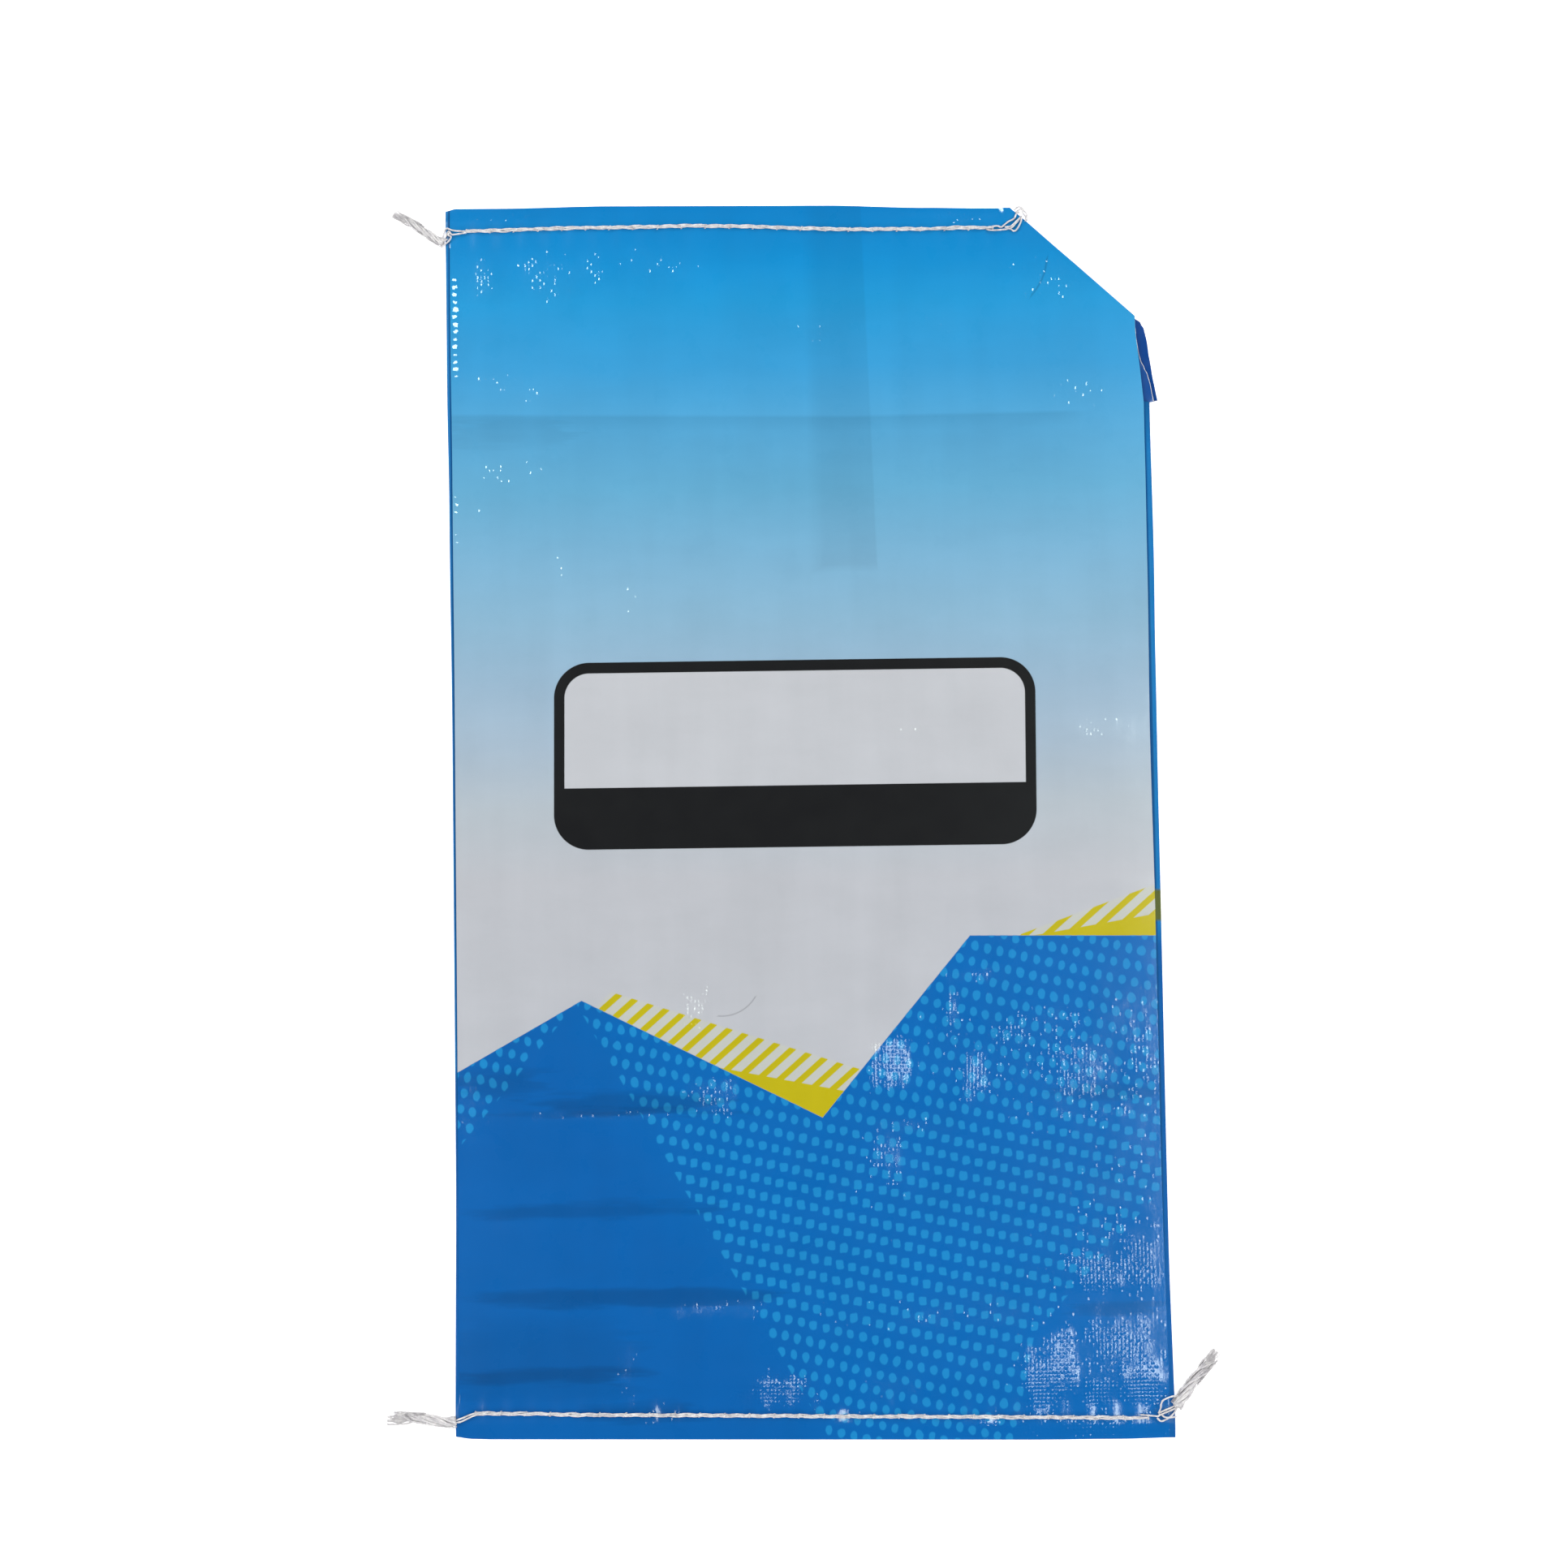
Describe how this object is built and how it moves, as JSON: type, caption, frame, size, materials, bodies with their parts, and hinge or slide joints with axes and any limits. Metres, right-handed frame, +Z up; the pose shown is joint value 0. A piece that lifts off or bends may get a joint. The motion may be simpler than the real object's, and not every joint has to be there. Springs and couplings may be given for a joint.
{
  "type": "cement bag",
  "caption": "Empty laminated woven valve sack lying flat, sewn at both ends, with a tucked top corner, a filling sleeve beside it and loose thread tails.",
  "frame": {"origin": "on the underside of the back panel, at the middle of the sack's width and length", "axes": "+Y along the sack's length towards the end with the filling corner, +X towards the side with the filling corner, +Z up out of the printed front"},
  "size_m": [0.4678, 0.706, 0.0062],
  "materials": {
    "printed_film": "printed glossy film laminated to a plain weave of flat plastic tapes",
    "sleeve_fabric": "the same laminated woven fabric in dark blue",
    "polyester_thread": "undyed spun sewing thread"
  },
  "bodies": {
    "root": {"sack": "printed_film", "valve_sleeve": "sleeve_fabric", "top_needle_thread": "polyester_thread", "top_looper_thread": "polyester_thread", "bottom_needle_thread": "polyester_thread", "bottom_looper_thread": "polyester_thread", "top_left_thread_tail": "polyester_thread", "bottom_left_thread_tail": "polyester_thread", "bottom_right_thread_tail": "polyester_thread"}
  },
  "joints": []
}
